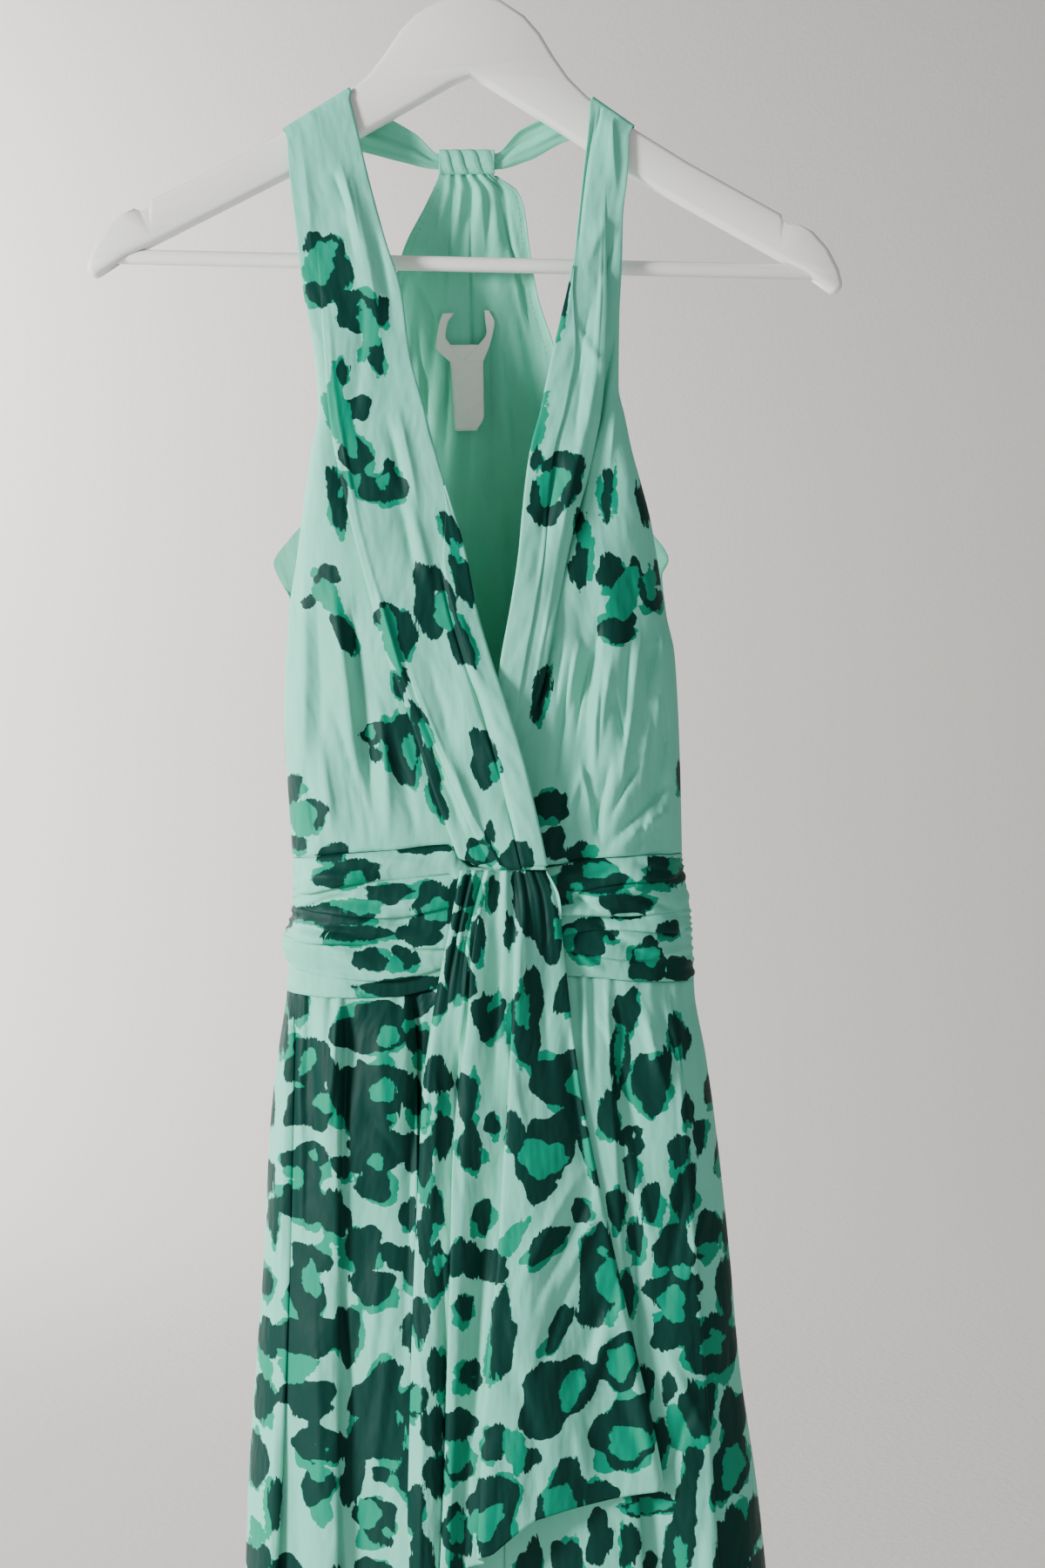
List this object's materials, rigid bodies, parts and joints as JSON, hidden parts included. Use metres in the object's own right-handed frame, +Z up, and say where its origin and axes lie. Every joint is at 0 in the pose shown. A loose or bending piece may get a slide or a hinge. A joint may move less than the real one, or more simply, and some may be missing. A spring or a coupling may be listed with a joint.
{
  "type": "halter dress on hanger",
  "caption": "Sleeveless halter dress with a wrapped, pleated front, a ruched waistband and a draped skirt, hung by its neck straps on a flat wooden hanger with a wire hook.",
  "frame": {"origin": "inside of the hanger hook's top, where the rail or wall hook that carries it touches", "axes": "+Z up, -Y the dress's front, +X to the right of someone who looks at the front"},
  "size_m": [0.4324, 0.1441, 1.1736],
  "materials": {
    "printed_cloth": "satin-like woven cloth with a printed pattern of dark and emerald spots on pale mint",
    "white_wood": "white paint",
    "hook_steel": "bright plated wire",
    "label_tape": "plain woven tape, blank"
  },
  "bodies": {
    "root": {"hanger_body": "white_wood", "hanger_bar": "white_wood", "hanger_hook": "hook_steel", "front_over": "printed_cloth", "front_under": "printed_cloth", "neck_band_over": "printed_cloth", "neck_band_under": "printed_cloth", "back_bodice": "printed_cloth", "back_loop": "printed_cloth", "care_label": "label_tape", "waistband_front_left": "printed_cloth", "waistband_front_right": "printed_cloth", "waistband_back": "printed_cloth", "centre_drape": "printed_cloth", "skirt_front_left": "printed_cloth", "skirt_front_right": "printed_cloth", "skirt_back": "printed_cloth"}
  },
  "joints": []
}
